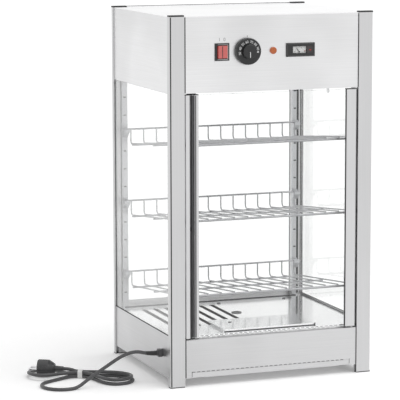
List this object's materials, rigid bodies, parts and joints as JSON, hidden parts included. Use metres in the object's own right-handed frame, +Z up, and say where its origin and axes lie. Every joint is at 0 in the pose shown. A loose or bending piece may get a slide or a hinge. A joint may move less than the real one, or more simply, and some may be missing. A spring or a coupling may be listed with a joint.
{
  "type": "heated pizza display case",
  "caption": "Glass-sided heated display case with wire shelves, a hinged glass door, a slotted deck, a crumb tray and a control panel with switch, thermostat, lamp and gauge.",
  "frame": {"origin": "middle of the case footprint on the counter, the free cord and its gland left out", "axes": "+Z up; the door and the control panel face -Y; +X is to the right of someone facing the door"},
  "size_m": [0.7141, 0.399, 0.782],
  "materials": {
    "post_aluminium": "satin",
    "black_plastic": "matte",
    "stainless_panel": "brushed",
    "stainless_tray": "brushed",
    "deck_steel": "bright",
    "inner_steel": "plain",
    "roof_white": "satin",
    "bright_steel": "bright",
    "heater_sheath": "dull",
    "ceramic": "matte",
    "clear_glass": "clear",
    "soft_strip": "matte",
    "standard_zinc": "plain",
    "chrome_wire": "bright",
    "door_aluminium": "satin",
    "cap_plastic": "matte",
    "rocker_red": "gloss",
    "knob_black": "satin",
    "lens_amber": "gloss",
    "dial_white": "matte",
    "gauge_window": "clear",
    "needle_black": "matte",
    "cord_black": "matte",
    "tie_white": "matte",
    "plug_grey": "matte"
  },
  "bodies": {
    "case": {"post_front_left": "post_aluminium", "post_front_right": "post_aluminium", "post_rear_left": "post_aluminium", "post_rear_right": "post_aluminium", "post_end_caps": "black_plastic", "switch_housing": "black_plastic", "gauge_housing": "black_plastic", "base_front_panel": "stainless_panel", "base_rear_panel": "stainless_panel", "base_left_panel": "stainless_panel", "base_right_panel": "stainless_panel", "control_panel": "stainless_panel", "top_rear_panel": "stainless_panel", "top_left_panel": "stainless_panel", "top_right_panel": "stainless_panel", "deck_plate": "deck_steel", "element_cover": "deck_steel", "base_bottom_plate": "inner_steel", "tray_runners": "inner_steel", "heater_saddles": "inner_steel", "ceiling_plate": "inner_steel", "thermostat_body": "inner_steel", "roof_sheet": "roof_white", "deck_fittings": "bright_steel", "thermostat_bulb": "bright_steel", "heating_element": "heater_sheath", "terminal_block": "ceramic", "pilot_lamp_body": "ceramic", "side_panes": "clear_glass", "rear_glass": "clear_glass", "glass_strips": "soft_strip", "shelf_standards": "standard_zinc", "shelf_clips": "standard_zinc", "door_pivot_bushes": "cap_plastic", "door_magnet": "cap_plastic", "pilot_lens": "lens_amber", "gauge_dial": "dial_white", "gauge_lens": "gauge_window", "cord_gland": "cord_black", "cord_lead": "cord_black", "cord_hank": "cord_black", "cord_tie": "tie_white", "mains_plug": "plug_grey"},
    "door": {"door_handle_stile": "door_aluminium", "door_hinge_stile": "door_aluminium", "door_stile_caps": "cap_plastic", "door_glass": "clear_glass", "door_pivot_pins": "bright_steel", "door_strike": "bright_steel"},
    "thermostat_dial": {"thermostat_knob": "knob_black", "thermostat_shaft": "bright_steel"},
    "switch_lever": {"switch_rocker": "rocker_red"},
    "needle": {"gauge_needle": "needle_black"},
    "crumb_drawer": {"crumb_tray": "stainless_tray"},
    "shelf_bottom": {"shelf_bottom_grid": "chrome_wire", "shelf_bottom_fence": "chrome_wire"},
    "shelf_middle": {"shelf_middle_grid": "chrome_wire", "shelf_middle_fence": "chrome_wire"},
    "shelf_top": {"shelf_top_grid": "chrome_wire", "shelf_top_fence": "chrome_wire"}
  },
  "joints": [
    {"name": "front_door_hinge", "type": "hinge", "parent": "case", "child": "door", "pos_m": [0.1868, -0.1765, 0.36], "axis": [0, 0, 1], "range_deg": [0, 105]},
    {"name": "thermostat_knob_turn", "type": "hinge", "parent": "case", "child": "thermostat_dial", "pos_m": [-0.057, -0.1835, 0.704], "axis": [0, 1, 0], "range_deg": [0, 270]},
    {"name": "switch_rocker_tilt", "type": "hinge", "parent": "case", "child": "switch_lever", "pos_m": [-0.1135, -0.178, 0.704], "axis": [0, 0, 1], "range_deg": [-14, 0]},
    {"name": "gauge_needle_turn", "type": "hinge", "parent": "case", "child": "needle", "pos_m": [0.06, -0.1823, 0.6996], "axis": [0, 1, 0], "range_deg": [0, 80]},
    {"name": "crumb_tray_slide", "type": "slide", "parent": "case", "child": "crumb_drawer", "axis": [0, -1, 0], "range_m": [0, 0.25]},
    {"name": "shelf_bottom_lift", "type": "slide", "parent": "case", "child": "shelf_bottom", "axis": [0, 0, 1], "range_m": [0, 0.05]},
    {"name": "shelf_middle_lift", "type": "slide", "parent": "case", "child": "shelf_middle", "axis": [0, 0, 1], "range_m": [0, 0.05]},
    {"name": "shelf_top_lift", "type": "slide", "parent": "case", "child": "shelf_top", "axis": [0, 0, 1], "range_m": [0, 0.05]}
  ]
}
